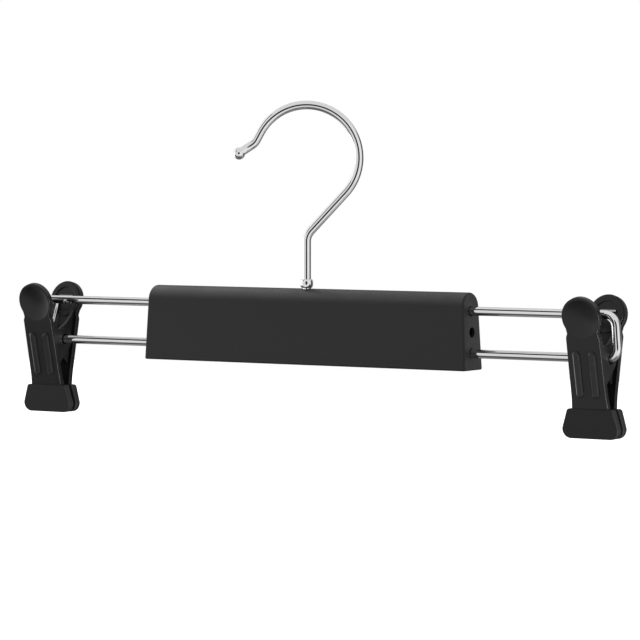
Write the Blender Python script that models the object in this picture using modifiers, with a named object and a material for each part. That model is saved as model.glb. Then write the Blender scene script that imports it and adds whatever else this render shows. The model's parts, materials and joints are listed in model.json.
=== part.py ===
"""Trouser hanger: moulded body, swivel hook, two bent rods and two spring clips that slide on them.

Lengths are in metres and angles in degrees. +X runs along the hanger, +Y to its back and +Z up.
The origin is the point inside the hook where it rests on a rail.
"""
from math import acos, asin, atan2, cos, degrees, pi, radians, sin, tan

import bmesh
import bpy
from mathutils import Matrix, Vector

# Clearances
FIT_GAP = 0.0003
SHAFT_GAP = 0.0006

# Wire stock for the hook and the rods
WIRE_DIA = 0.0040

# Hook
HOOK_ARC_RADIUS = 0.0243
HOOK_ARC_RISE = 0.0605
HOOK_ARC_START = 152.0
HOOK_ARC_END = -43.0
HOOK_BEND_RADIUS = 0.0075
HOOK_TIP_LEAD = 0.0038
HOOK_TIP_BEND_RADIUS = 0.0060
HOOK_TIP_SLOPE = 33.4
HOOK_TIP_LENGTH = 0.0072
HOOK_TIP_BALL_DIA = 0.0056
HOOK_YAW = 32.4
HOOK_BEAD_DIA = 0.0060
HOOK_BEAD_HEIGHT = 0.0040
HOOK_HEAD_DIA = 0.0066
HOOK_HEAD_HEIGHT = 0.0020
WASHER_DIA = 0.0090
WASHER_THICK = 0.0008

# Body; in the photograph the hook stands a little left of its middle
BODY_SHIFT = 0.0013
BODY_LENGTH = 0.1756
BODY_DEPTH = 0.0162
BODY_HEIGHT = 0.0351
BODY_WALL = 0.0020
BODY_END_DRAFT = 2.8
BODY_SIDE_DRAFT = 2.0
BODY_CROWN_RISE = 0.0064
BODY_EDGE_RADIUS = 0.0008
HOOK_BLOCK_LENGTH = 0.0130
HOOK_BLOCK_HEIGHT = 0.0115
RIB_THICK = 0.0018
RIB_PITCH = 0.0095
RIBS_PER_END = 2

# Rods and their holes
HOLE_PITCH = 0.0096
LOWER_HOLE_RISE = 0.00755
ROD_INSERT = 0.0230
ROD_UPPER_BEND_RADIUS = 0.0054
ROD_LOWER_BEND_RADIUS = 0.0047
ROD_UPPER_REACH = 0.0105
ROD_LOWER_REACH = 0.0112
CLIP_SPAN = 0.2980

# Clip levers
LEVER_TILT = 13.0
LEVER_FACE_OFFSET = 0.00936
LEVER_THICK = 0.0026
LEVER_EDGE_RADIUS = 0.0004
PAD_RADIUS = 0.0092
PAD_RISE = 0.0208
PAD_ARC_END = -32.0
NECK_HALF_WIDTH = 0.0074
NECK_RISE = 0.0136
SHOULDER_HALF_WIDTH = 0.00815
SHOULDER_RISE = 0.0117
WAIST_HALF_WIDTH = 0.0085
WAIST_DROP = 0.0155
HEEL_HALF_WIDTH = 0.0090
LEVER_DROP = 0.0219
DISH_RADIUS = 0.0085
DISH_DEPTH = 0.0012
DISH_DROP = 0.0005
RIM_WIDTH = 0.0022
RIM_HEIGHT = 0.0006
RIB_BAR_SPACING = 0.0078
RIB_BAR_WIDTH = 0.0034
RIB_BAR_TOP = 0.0056
RIB_BAR_LENGTH = 0.0212
RIB_BAR_HEIGHT = 0.0006

# Ears that carry the levers on the lower rod
EAR_THICK = 0.0015
EAR_OUTER_FACE = 0.0081
EAR_RADIUS = 0.0055
OUTER_EAR_RISE = 0.0122
OUTER_EAR_SWEEP_RADIUS = 0.0065
INNER_EAR_RISE = 0.0180
INNER_EAR_SWEEP_RADIUS = 0.0200
EAR_FOOT_DROP = 0.0105

# Tongue of the lever and the jaw that is pushed onto it
TONGUE_THICK = 0.0013
TONGUE_OFFSET = 0.0019
TONGUE_LENGTH = 0.0098
JAW_HEIGHT = 0.0132
JAW_TOP_HALF_WIDTH = 0.0112
JAW_HALF_WIDTH = 0.0138
JAW_WIDEST_RISE = 0.0046
JAW_TOP_THICK = 0.0047
JAW_FOOT_THICK = 0.0040
JAW_CORNER_RADIUS = 0.0042
JAW_TOP_CORNER_RADIUS = 0.0014
JAW_EDGE_RADIUS = 0.0006
JAW_GAP = 0.0006
GRIP_STEP = 0.00065
GRIP_INSET = 0.0015

# Torsion spring
SPRING_WIRE_DIA = 0.0014
SPRING_COIL_RADIUS = 0.0032
SPRING_COIL_LENGTH = 0.0074
SPRING_WHOLE_TURNS = 3
SPRING_POINTS_PER_TURN = 10
SPRING_LEG_RISE = 0.0203
SPRING_END_LENGTH = 0.0084
SPRING_BEND_RADIUS = 0.0013

# Facets
ARC_STEP = 10.0
ROUND_STEPS = 32
WIRE_RESOLUTION = 5

# Levels, counted down from the rail
HOOK_ARC_CENTRE_Z = WIRE_DIA / 2 - HOOK_ARC_RADIUS
CREST_Z = HOOK_ARC_CENTRE_Z - HOOK_ARC_RISE
UNDERSIDE_Z = CREST_Z - BODY_HEIGHT
LOWER_ROD_Z = UNDERSIDE_Z + LOWER_HOLE_RISE
UPPER_ROD_Z = LOWER_ROD_Z + 2 * HOLE_PITCH
HOOK_BLOCK_Z = CREST_Z - HOOK_BLOCK_HEIGHT

# Outlines drawn flat as (across, up) turn into solids that run along X, or along Y
ALONG_X = Matrix(((0, 0, 1, 0), (1, 0, 0, 0), (0, 1, 0, 0), (0, 0, 0, 1)))
ALONG_Y = Matrix.Rotation(radians(90), 4, "X")

for leftover in list(bpy.data.objects):
    bpy.data.objects.remove(leftover)


def add_collection(name):
    collection = bpy.data.collections.new(name)
    bpy.context.scene.collection.children.link(collection)
    return collection


parts = add_collection("trouser_hanger")
cutters = add_collection("cutters")


def material(name, colour, roughness, metallic=0.0):
    made = bpy.data.materials.new(name)
    made.use_nodes = True
    shader = made.node_tree.nodes["Principled BSDF"]
    shader.inputs["Base Color"].default_value = (*colour, 1.0)
    shader.inputs["Roughness"].default_value = roughness
    shader.inputs["Metallic"].default_value = metallic
    return made


body_plastic = material("body_plastic", (0.031, 0.031, 0.033), 0.55)
clip_plastic = material("clip_plastic", (0.024, 0.024, 0.026), 0.45)
jaw_rubber = material("jaw_rubber", (0.023, 0.023, 0.024), 0.6)
chrome = material("chrome", (0.80, 0.80, 0.81), 0.06, 1.0)
spring_steel = material("spring_steel", (0.72, 0.72, 0.73), 0.16, 1.0)


def arc(centre, radius, start, end, step=ARC_STEP):
    """Points along an arc, both ends included; angles in degrees, counter-clockwise when rising."""
    count = max(2, round(abs(end - start) / step))
    angles = [radians(start + (end - start) * i / count) for i in range(count + 1)]
    return [(centre[0] + radius * cos(a), centre[1] + radius * sin(a)) for a in angles]


def rounded(corners):
    """An outline from (across, up, radius) corners, each turned into an arc of its radius."""
    outline = []
    for i, (x, y, radius) in enumerate(corners):
        here = Vector((x, y))
        to_last = (Vector(corners[i - 1][:2]) - here).normalized()
        to_next = (Vector(corners[(i + 1) % len(corners)][:2]) - here).normalized()
        if radius == 0:
            outline.append((x, y))
            continue
        half = acos(max(-1.0, min(1.0, to_last.dot(to_next)))) / 2
        middle = here + (to_last + to_next).normalized() * radius / sin(half)
        first = here + to_last * radius / tan(half) - middle
        last = here + to_next * radius / tan(half) - middle
        start = degrees(atan2(first.y, first.x))
        turn = (degrees(atan2(last.y, last.x)) - start + 180) % 360 - 180
        outline += arc(middle, radius, start, start + turn)
    return outline


def mirrored(side):
    """A closed outline from its right half, listed downwards from the top centre."""
    return side + [(-x, y) for x, y in reversed(side) if abs(x) > 1e-9]


def mesh_of(source):
    """The evaluated mesh of an object, with welded caps and flat regions as single faces."""
    bpy.context.view_layer.update()
    mesh = bpy.data.meshes.new_from_object(source.evaluated_get(bpy.context.evaluated_depsgraph_get()))
    work = bmesh.new()
    work.from_mesh(mesh)
    bmesh.ops.remove_doubles(work, verts=work.verts, dist=1e-6)
    bmesh.ops.dissolve_limit(work, angle_limit=radians(0.3), verts=work.verts, edges=work.edges)
    bmesh.ops.recalc_face_normals(work, faces=work.faces)
    work.to_mesh(mesh)
    work.free()
    return mesh


def add_object(name, data, collection=cutters):
    made = bpy.data.objects.new(name, data)
    collection.objects.link(made)
    if collection is cutters:
        made.hide_render = True
        made.display_type = "WIRE"
    return made


def plate(name, outline, thickness, turn):
    """A flat outline given a thickness, centred on its plane."""
    curve = bpy.data.curves.new(name, "CURVE")
    curve.dimensions = "2D"
    curve.fill_mode = "BOTH"
    curve.extrude = thickness / 2
    spline = curve.splines.new("POLY")
    spline.points.add(len(outline) - 1)
    spline.use_cyclic_u = True
    for point, (x, y) in zip(spline.points, outline):
        point.co = (x, y, 0, 1)
    drawn = add_object(name, curve)
    mesh = mesh_of(drawn)
    bpy.data.objects.remove(drawn)
    mesh.transform(turn)
    return add_object(name, mesh)


def turned(name, profile, turn):
    """A solid of revolution about its own Z; the profile runs down the outer side, axis to axis."""
    mesh = bpy.data.meshes.new(name)
    points = [(radius, 0, height) for radius, height in profile]
    mesh.from_pydata(points, [(i, i + 1) for i in range(len(points) - 1)], [])
    drawn = add_object(name, mesh)
    screw = drawn.modifiers.new("turn", "SCREW")
    screw.steps = ROUND_STEPS
    screw.render_steps = ROUND_STEPS
    screw.use_merge_vertices = True
    screw.merge_threshold = 0.00001
    solid = mesh_of(drawn)
    bpy.data.objects.remove(drawn)
    solid.transform(turn)
    return add_object(name, solid)


def cylinder(name, radius, length, turn):
    """A round bar centred on its own Z, then turned and placed."""
    work = bmesh.new()
    bmesh.ops.create_cone(work, cap_ends=True, segments=ROUND_STEPS, radius1=radius, radius2=radius, depth=length)
    mesh = bpy.data.meshes.new(name)
    work.to_mesh(mesh)
    work.free()
    mesh.transform(turn)
    return add_object(name, mesh)


def box(name, size, centre):
    work = bmesh.new()
    bmesh.ops.create_cube(work, size=1)
    mesh = bpy.data.meshes.new(name)
    work.to_mesh(mesh)
    work.free()
    mesh.transform(Matrix.Translation(centre) @ Matrix.Diagonal((*size, 1)))
    return add_object(name, mesh)


def wire(name, path, dia, resolution, swell=None):
    """A round wire along a path of points; swell gives each point's thickness as a share of dia."""
    curve = bpy.data.curves.new(name, "CURVE")
    curve.dimensions = "3D"
    curve.bevel_depth = dia / 2
    curve.bevel_resolution = resolution
    curve.use_fill_caps = True
    spline = curve.splines.new("POLY")
    spline.points.add(len(path) - 1)
    for i, point in enumerate(path):
        spline.points[i].co = (*point, 1)
        spline.points[i].radius = swell[i] if swell else 1.0
    drawn = add_object(name, curve)
    mesh = mesh_of(drawn)
    bpy.data.objects.remove(drawn)
    return mesh


def boolean(target, tool, operation):
    modifier = target.modifiers.new(operation.lower(), "BOOLEAN")
    modifier.operation = operation
    modifier.object = tool


def soften(target, radius):
    bevel = target.modifiers.new("soft edges", "BEVEL")
    bevel.width = radius
    bevel.segments = 2
    bevel.limit_method = "ANGLE"
    bevel.angle_limit = radians(35)


def finished(name, data, finish, axis, turn=0.0, shift=0.0):
    """A sub-part on the empty that marks its axis, turned about Z and shifted along X."""
    made = add_object(name, data, parts)
    made.parent = axis
    made.location.x = shift
    made.rotation_euler.z = radians(turn)
    if data.materials:
        data.materials[0] = finish
    else:
        data.materials.append(finish)
    data.shade_smooth()
    data.set_sharp_from_angle(angle=radians(32))
    return made


def axis_empty(name, place):
    empty = bpy.data.objects.new(name, None)
    empty.location = place
    parts.objects.link(empty)
    return empty


def body_section(inset):
    """Cross-section of the body: drafted sides and a rounded crown, drawn inset by a wall."""
    half = BODY_DEPTH / 2 - inset
    side = BODY_HEIGHT - BODY_CROWN_RISE
    shoulder = half - side * tan(radians(BODY_SIDE_DRAFT))
    crown = BODY_CROWN_RISE - inset
    base = UNDERSIDE_Z - inset
    right = [(shoulder * sin(t), UNDERSIDE_Z + side + crown * cos(t))
             for t in (radians(90) * i / 9 for i in range(10))]
    return mirrored(right + [(half, base)])


def body_front(inset):
    """Front view of the body: its ends lean in towards the top."""
    foot = BODY_LENGTH / 2 - inset
    lean = tan(radians(BODY_END_DRAFT))
    reach = BODY_HEIGHT * 2
    return mirrored([(foot - lean * reach, UNDERSIDE_Z + reach), (foot + lean * reach, UNDERSIDE_Z - reach)])


def body_solid(name, inset):
    shift = Matrix.Translation((BODY_SHIFT, 0, 0))
    solid = plate(name, body_section(inset), BODY_LENGTH * 2, shift @ ALONG_X)
    ends = plate(name + " ends", body_front(inset), BODY_DEPTH * 2, shift @ ALONG_Y)
    boolean(solid, ends, "INTERSECT")
    return solid


def hole_along_x(name, radius, near, far, height):
    return cylinder(name, radius, far - near,
                    Matrix.Translation(((near + far) / 2, 0, height)) @ Matrix.Rotation(radians(90), 4, "Y"))


def body_shell(axis):
    """A shell open below, with cross ribs that hold the rods and a block that carries the hook."""
    shell = body_solid("shell", 0)
    soften(shell, BODY_EDGE_RADIUS)
    hollow = body_solid("hollow", BODY_WALL)
    block = box("hook block", (HOOK_BLOCK_LENGTH, BODY_DEPTH, HOOK_BLOCK_HEIGHT * 2),
                (0, 0, CREST_Z))
    boolean(hollow, block, "DIFFERENCE")
    for side in (-1, 1):
        for i in range(1, RIBS_PER_END + 1):
            rib = box("rib", (RIB_THICK, BODY_DEPTH, BODY_HEIGHT * 3),
                      (BODY_SHIFT + side * (BODY_LENGTH / 2 - i * RIB_PITCH), 0, CREST_Z))
            boolean(hollow, rib, "DIFFERENCE")
    boolean(shell, hollow, "DIFFERENCE")
    shank_hole = cylinder("shank hole", WIRE_DIA / 2 + FIT_GAP, BODY_HEIGHT,
                          Matrix.Translation((0, 0, CREST_Z)))
    boolean(shell, shank_hole, "DIFFERENCE")
    outside = BODY_LENGTH / 2 + BODY_WALL
    rod_depth = BODY_LENGTH / 2 - ROD_INSERT - FIT_GAP
    bare_depth = BODY_LENGTH / 2 - (RIB_PITCH + BODY_WALL) / 2
    for side in (-1, 1):
        for step, depth in ((0, rod_depth), (1, bare_depth), (2, rod_depth)):
            near, far = sorted((BODY_SHIFT + side * depth, BODY_SHIFT + side * outside))
            hole = hole_along_x("rod hole", WIRE_DIA / 2 + FIT_GAP, near, far,
                                LOWER_ROD_Z + step * HOLE_PITCH)
            boolean(shell, hole, "DIFFERENCE")
    finished("body_shell", mesh_of(shell), body_plastic, axis)


def hook_path():
    """Centre line of the hook in its own plane, from the riveted foot to the ball, with thicknesses."""
    foot = HOOK_BLOCK_Z - 2 * FIT_GAP - WASHER_THICK
    head = HOOK_HEAD_DIA / WIRE_DIA
    path = [(0, foot - HOOK_HEAD_HEIGHT * share) for share in (1.0, 0.7, 0.2, 0.0)] + [(0, foot + FIT_GAP / 2)]
    swell = [head * 0.7, head, head, head * 0.9, 1.0]
    # The straight leg leaves the arc on its tangent and meets the shank on the swivel axis
    centre = (0, HOOK_ARC_CENTRE_Z)
    leave = radians(HOOK_ARC_END)
    corner_z = centre[1] - HOOK_ARC_RADIUS * (cos(leave) / tan(-leave) + sin(-leave))
    back = HOOK_BEND_RADIUS * tan(radians(90 + HOOK_ARC_END) / 2)
    bend = arc((HOOK_BEND_RADIUS, corner_z - back), HOOK_BEND_RADIUS, 180, 90 - HOOK_ARC_END, ARC_STEP)
    curve = arc(centre, HOOK_ARC_RADIUS, HOOK_ARC_END, HOOK_ARC_START, ARC_STEP * 0.8)
    # At its end the wire runs straight, then turns outwards and down to the ball
    leave_slope = 180 + HOOK_TIP_SLOPE
    start = radians(HOOK_ARC_START)
    lead = Vector((-sin(start), cos(start))) * HOOK_TIP_LEAD
    turn_centre = Vector(curve[-1]) + lead + Vector((cos(start), sin(start))) * HOOK_TIP_BEND_RADIUS
    turn = arc(turn_centre, HOOK_TIP_BEND_RADIUS, HOOK_ARC_START - 180, leave_slope - 270, ARC_STEP)
    run = Vector((cos(radians(leave_slope)), sin(radians(leave_slope))))
    path += bend + curve + turn
    swell += [1.0] * (len(bend) + len(curve) + len(turn))
    ball = HOOK_TIP_BALL_DIA / 2
    ball_at = Vector(turn[-1]) + run * HOOK_TIP_LENGTH
    neck = -degrees(acos(WIRE_DIA / 2 / ball))
    for step in range(9):
        angle = radians(-90 - neck + (180 + neck - 12) * step / 8)
        along = ball_at + run * ball * sin(angle)
        path.append((along.x, along.y))
        swell.append(ball * cos(angle) / (WIRE_DIA / 2))
    return [(x, 0, z) for x, z in path], swell


def hook(axis):
    path, swell = hook_path()
    finished("hook", wire("hook", path, WIRE_DIA, WIRE_RESOLUTION, swell), chrome, axis, HOOK_YAW)
    bore = WIRE_DIA / 2 + FIT_GAP
    crown = HOOK_BEAD_DIA / 2 - bore
    middle = HOOK_BEAD_HEIGHT / 2
    bead_side = [(bore + crown * cos(a), middle * sin(a)) for a in (radians(90 - 18 * i) for i in range(11))]
    bead = turned("bead", bead_side + [bead_side[0]], Matrix.Translation((0, 0, CREST_Z + FIT_GAP + middle)))
    finished("hook_bead", bead.data, chrome, axis, HOOK_YAW)
    top = HOOK_BLOCK_Z - FIT_GAP
    rim = [(bore, top), (WASHER_DIA / 2, top), (WASHER_DIA / 2, top - WASHER_THICK), (bore, top - WASHER_THICK)]
    washer = turned("washer", rim + [rim[0]], Matrix.Identity(4))
    finished("hook_washer", washer.data, spring_steel, axis)


def rods(axis):
    """One wire on each side: two legs in the body, joined by an outer end that leans in at the top."""
    inner = BODY_LENGTH / 2 - ROD_INSERT
    clip = CLIP_SPAN / 2
    low_centre = Vector((clip + ROD_LOWER_REACH - ROD_LOWER_BEND_RADIUS, LOWER_ROD_Z + ROD_LOWER_BEND_RADIUS))
    high_centre = Vector((clip + ROD_UPPER_REACH - ROD_UPPER_BEND_RADIUS, UPPER_ROD_Z - ROD_UPPER_BEND_RADIUS))
    # The straight piece between the bends is a tangent of both
    between = high_centre - low_centre
    tighter = ROD_LOWER_BEND_RADIUS - ROD_UPPER_BEND_RADIUS
    lean = degrees(atan2(between.y, between.x) - acos(tighter / between.length))
    low = arc(low_centre, ROD_LOWER_BEND_RADIUS, -90, lean)
    high = arc(high_centre, ROD_UPPER_BEND_RADIUS, lean, 90)
    outline = [(inner, LOWER_ROD_Z)] + low + high + [(inner, UPPER_ROD_Z)]
    shape = wire("rod", [(x, 0, z) for x, z in outline], WIRE_DIA, WIRE_RESOLUTION)
    finished("right_rod", shape, chrome, axis, 0, BODY_SHIFT)
    finished("left_rod", shape, chrome, axis, 180, BODY_SHIFT)


def lever_outline():
    """Front view of the lever in its own plane: round pad, neck, shoulder, blade and heel."""
    pad = arc((0, PAD_RISE), PAD_RADIUS, 90, PAD_ARC_END, ARC_STEP * 0.8)
    blade = [(NECK_HALF_WIDTH, NECK_RISE), (SHOULDER_HALF_WIDTH, SHOULDER_RISE), (WAIST_HALF_WIDTH, -WAIST_DROP),
             (HEEL_HALF_WIDTH, -LEVER_DROP), (HEEL_HALF_WIDTH, -LEVER_DROP - 2 * TONGUE_LENGTH)]
    return mirrored(pad + blade)


def lever_face(offset, height):
    """Depth of a lever plane, offset from the pivot, at a height above the pivot."""
    tilt = radians(LEVER_TILT)
    return -(offset / cos(tilt) + height * tan(tilt))


def lever_section():
    """Side view of the front lever: tilted blade and upright tongue."""
    outer = LEVER_FACE_OFFSET
    inner = LEVER_FACE_OFFSET - LEVER_THICK
    top = PAD_RISE + 2 * PAD_RADIUS
    foot = -LEVER_DROP
    tongue = -TONGUE_OFFSET - TONGUE_THICK
    end = foot - TONGUE_LENGTH
    return [(lever_face(outer, top), top), (lever_face(outer, foot), foot), (tongue, foot), (tongue, end),
            (-TONGUE_OFFSET, end), (-TONGUE_OFFSET, foot + LEVER_THICK / 4),
            (lever_face(inner, foot + LEVER_THICK), foot + LEVER_THICK), (lever_face(inner, top), top)]


def ear_outline(reach, rise, sweep_radius):
    """Side view of an ear in the lever's plane: a disc round the pivot, swept up to the blade."""
    root = -(reach + LEVER_THICK / 2)
    top = Vector((-reach, rise))
    # The sweep touches the disc and ends on the blade at the rise
    away = EAR_RADIUS + sweep_radius
    along = (away ** 2 - sweep_radius ** 2 + top.length_squared) / (2 * top.length)
    aside = (away ** 2 - along ** 2) ** 0.5
    upwards = top.normalized()
    middle = upwards * along + Vector((upwards.y, -upwards.x)) * aside
    meet = degrees(atan2(middle.y, middle.x))
    end = degrees(atan2(top.y - middle.y, top.x - middle.x)) % 360 - 360
    sweep = arc(middle, sweep_radius, meet - 180, end, ARC_STEP * 0.8)
    foot = Vector((-reach, -EAR_FOOT_DROP))
    to_foot = degrees(atan2(foot.y, foot.x)) + degrees(acos(EAR_RADIUS / foot.length))
    return [(root, rise), (root, foot.y), tuple(foot)] + arc((0, 0), EAR_RADIUS, to_foot, meet) + sweep[1:]


def lever():
    """The front lever about its pivot; the rear one is the same shape turned half a turn about Z."""
    tilt = Matrix.Rotation(radians(LEVER_TILT), 4, "X")
    wide = JAW_HALF_WIDTH * 4
    blade = plate("blade", lever_section(), wide, ALONG_X)
    outline = plate("outline", lever_outline(), wide, tilt @ ALONG_Y)
    boolean(blade, outline, "INTERSECT")
    soften(blade, LEVER_EDGE_RADIUS)
    inner_face = LEVER_FACE_OFFSET - LEVER_THICK
    outer_place = EAR_OUTER_FACE - EAR_THICK / 2
    inner_place = -(EAR_OUTER_FACE - EAR_THICK - FIT_GAP - EAR_THICK / 2)
    outer_ear = ear_outline(inner_face, OUTER_EAR_RISE, OUTER_EAR_SWEEP_RADIUS)
    inner_ear = ear_outline(inner_face, INNER_EAR_RISE, INNER_EAR_SWEEP_RADIUS)
    for ear, place in ((outer_ear, outer_place), (inner_ear, inner_place)):
        side = plate("ear", ear, EAR_THICK, tilt @ Matrix.Translation((place, 0, 0)) @ ALONG_X)
        boolean(blade, side, "UNION")
    # Raised bars on the outer face
    half = RIB_BAR_WIDTH / 2
    low, high = RIB_BAR_TOP - RIB_BAR_LENGTH + half, RIB_BAR_TOP - half
    bar = arc((0, high), half, 180, 0, ARC_STEP * 3) + arc((0, low), half, 0, -180, ARC_STEP * 3)
    bar_depth = RIB_BAR_HEIGHT + LEVER_THICK / 2
    for side in (-1, 1):
        place = Matrix.Translation((side * RIB_BAR_SPACING / 2, bar_depth / 2 - RIB_BAR_HEIGHT - LEVER_FACE_OFFSET, 0))
        raised = plate("bar", bar, bar_depth, tilt @ place @ ALONG_Y)
        boolean(blade, raised, "UNION")
    # Rim round the inner side of the pad
    rim_out = PAD_RADIUS - LEVER_EDGE_RADIUS - FIT_GAP / 2
    rim_in = rim_out - RIM_WIDTH
    sunk = LEVER_THICK / 4
    rim = [(rim_in, RIM_HEIGHT), (rim_out, RIM_HEIGHT), (rim_out, -sunk), (rim_in, -sunk), (rim_in, RIM_HEIGHT)]
    to_inside = tilt @ Matrix.Translation((0, -inner_face, PAD_RISE)) @ Matrix.Rotation(radians(-90), 4, "X")
    boolean(blade, turned("rim", rim, to_inside), "UNION")
    # Thumb dish on the outer side, a shallow cap of a sphere
    ball = (DISH_RADIUS ** 2 + DISH_DEPTH ** 2) / (2 * DISH_DEPTH)
    spread = degrees(asin(DISH_RADIUS / ball))
    cap = [(0, LEVER_THICK)] + [(DISH_RADIUS, LEVER_THICK)]
    cap += [(x, y + ball - DISH_DEPTH) for x, y in arc((0, 0), ball, spread - 90, -90, spread / 5)]
    cap[-1] = (0, -DISH_DEPTH)
    to_outside = tilt @ Matrix.Translation((0, -LEVER_FACE_OFFSET, PAD_RISE - DISH_DROP)) @ ALONG_Y
    boolean(blade, turned("dish", cap, to_outside), "DIFFERENCE")
    pivot = hole_along_x("pivot hole", WIRE_DIA / 2 + SHAFT_GAP, -wide, wide, 0)
    boolean(blade, pivot, "DIFFERENCE")
    return mesh_of(blade)


def jaw_outline(inset):
    """Front view of the jaw: it widens downwards to rounded corners."""
    top = -LEVER_DROP - FIT_GAP - inset
    foot = -LEVER_DROP - FIT_GAP - JAW_HEIGHT + inset
    widest = foot + JAW_WIDEST_RISE - inset
    shoulder = JAW_TOP_HALF_WIDTH - inset
    half = JAW_HALF_WIDTH - inset
    corner = JAW_CORNER_RADIUS - inset
    return rounded([(shoulder, top, JAW_TOP_CORNER_RADIUS), (-shoulder, top, JAW_TOP_CORNER_RADIUS),
                    (-half, widest, 0), (-half, foot, corner), (half, foot, corner), (half, widest, 0)])


def jaw():
    """The front jaw about the pivot: a soft shoe with a raised grip and a pocket for the lever's tongue."""
    top = -LEVER_DROP - FIT_GAP
    foot = top - JAW_HEIGHT
    grip = -JAW_GAP / 2
    rim = grip - GRIP_STEP
    side = [(rim, top), (rim, foot), (grip - JAW_FOOT_THICK, foot), (grip - JAW_TOP_THICK, top)]
    wide = JAW_HALF_WIDTH * 4
    shoe = plate("shoe", side, wide, ALONG_X)
    boolean(shoe, plate("shoe outline", jaw_outline(0), wide, ALONG_Y), "INTERSECT")
    soften(shoe, JAW_EDGE_RADIUS)
    raised = plate("grip", jaw_outline(GRIP_INSET), 2 * GRIP_STEP, Matrix.Translation((0, rim, 0)) @ ALONG_Y)
    boolean(shoe, raised, "UNION")
    pocket_top = top + JAW_HEIGHT
    pocket_foot = -LEVER_DROP - TONGUE_LENGTH - FIT_GAP
    pocket = box("pocket", (2 * (HEEL_HALF_WIDTH + FIT_GAP), TONGUE_THICK + 2 * FIT_GAP, pocket_top - pocket_foot),
                 (0, -TONGUE_OFFSET - TONGUE_THICK / 2, (pocket_top + pocket_foot) / 2))
    boolean(shoe, pocket, "DIFFERENCE")
    return mesh_of(shoe)


def spring_path():
    """Coil about the lower rod with a leg up each lever and a bent end that lies in the pad's recess."""
    rest = LEVER_FACE_OFFSET - LEVER_THICK - FIT_GAP - SPRING_WIRE_DIA / 2
    leg_top = Vector((-lever_face(rest, SPRING_LEG_RISE), SPRING_LEG_RISE))
    # The leg is a tangent of the coil
    lean = atan2(leg_top.x, leg_top.y) - asin(SPRING_COIL_RADIUS / leg_top.length)
    total = 2 * pi * SPRING_WHOLE_TURNS + pi - 2 * lean
    count = round(total / (2 * pi) * SPRING_POINTS_PER_TURN)
    coil = []
    for i in range(count + 1):
        angle = lean + total * i / count
        across = SPRING_COIL_LENGTH * (i / count - 0.5)
        coil.append(Vector((across, SPRING_COIL_RADIUS * cos(angle), -SPRING_COIL_RADIUS * sin(angle))))
    start = coil[0].x
    top = Vector((start, leg_top.x, leg_top.y))
    up = (top - coil[0]).normalized()
    sideways = Vector((1, 0, 0))
    bend_centre = top - up * SPRING_BEND_RADIUS + sideways * SPRING_BEND_RADIUS
    bend = [bend_centre - sideways * SPRING_BEND_RADIUS * cos(a) + up * SPRING_BEND_RADIUS * sin(a)
            for a in (radians(22.5 * i) for i in range(5))]
    rear_leg = [top + sideways * SPRING_END_LENGTH] + bend[::-1]
    half_turn = Matrix.Rotation(pi, 3, "Z")
    front_leg = [half_turn @ point for point in reversed(rear_leg)]
    return rear_leg + coil + front_leg


def least_gap(path, dia):
    """Smallest clear distance between parts of the wire that are more than half a turn apart."""
    apart = SPRING_POINTS_PER_TURN // 2
    pairs = ((a, b) for i, a in enumerate(path) for b in path[i + apart:])
    return min((a - b).length for a, b in pairs) - dia


def clips():
    lever_shape = lever()
    jaw_shape = jaw()
    path = spring_path()
    spring_shape = wire("spring", path, SPRING_WIRE_DIA, 1)
    print("least gap between the spring's turns: %.2f mm" % (least_gap(path, SPRING_WIRE_DIA) * 1000))
    for name, side in (("left", -1), ("right", 1)):
        pivot = axis_empty(name + "_clip_axis", (BODY_SHIFT + side * CLIP_SPAN / 2, 0, LOWER_ROD_Z))
        for place, turn in (("front", 0), ("rear", 180)):
            finished("%s_%s_lever" % (name, place), lever_shape, clip_plastic, pivot, turn)
            finished("%s_%s_jaw" % (name, place), jaw_shape, jaw_rubber, pivot, turn)
        finished(name + "_spring", spring_shape, spring_steel, pivot)


swivel = axis_empty("swivel_axis", (0, 0, 0))
hook(swivel)
body_shell(swivel)
rods(swivel)
clips()
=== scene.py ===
import json
from math import acos, asin, atan2, cos, degrees, pi, radians, sin, tan

import bmesh
import bpy
from mathutils import Matrix, Vector

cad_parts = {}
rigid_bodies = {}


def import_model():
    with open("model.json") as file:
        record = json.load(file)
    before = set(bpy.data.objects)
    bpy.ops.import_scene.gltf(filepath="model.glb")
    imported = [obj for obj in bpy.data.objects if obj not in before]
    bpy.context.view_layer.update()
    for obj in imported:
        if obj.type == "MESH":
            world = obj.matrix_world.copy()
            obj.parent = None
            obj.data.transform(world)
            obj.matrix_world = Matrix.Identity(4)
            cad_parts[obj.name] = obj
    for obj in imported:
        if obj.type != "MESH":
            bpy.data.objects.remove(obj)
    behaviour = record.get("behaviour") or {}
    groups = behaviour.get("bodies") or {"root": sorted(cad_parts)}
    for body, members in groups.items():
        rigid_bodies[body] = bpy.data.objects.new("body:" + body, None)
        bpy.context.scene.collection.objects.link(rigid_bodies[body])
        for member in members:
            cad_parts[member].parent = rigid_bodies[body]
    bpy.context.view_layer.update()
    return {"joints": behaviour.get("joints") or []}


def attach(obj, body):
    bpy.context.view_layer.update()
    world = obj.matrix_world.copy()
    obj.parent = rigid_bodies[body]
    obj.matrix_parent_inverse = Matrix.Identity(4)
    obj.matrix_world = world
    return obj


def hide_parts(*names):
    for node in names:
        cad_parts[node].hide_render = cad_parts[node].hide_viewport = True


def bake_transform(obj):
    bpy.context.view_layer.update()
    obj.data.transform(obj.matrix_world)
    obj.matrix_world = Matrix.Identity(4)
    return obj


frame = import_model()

mm = 0.001  # pieces are drawn in millimetres and settled into the frame in metres
alongX = Matrix(((0, 0, 1, 0), (1, 0, 0, 0), (0, 1, 0, 0), (0, 0, 0, 1)))  # runs a flat outline along X
alongY = Matrix.Rotation(radians(90), 4, "X")  # runs it along Y
fitGap = 0.3  # clearance between touching pieces
seamGap, mergeGap = 1e-4, 1e-3  # points this near are one: on a turned piece, and after a Boolean
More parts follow.
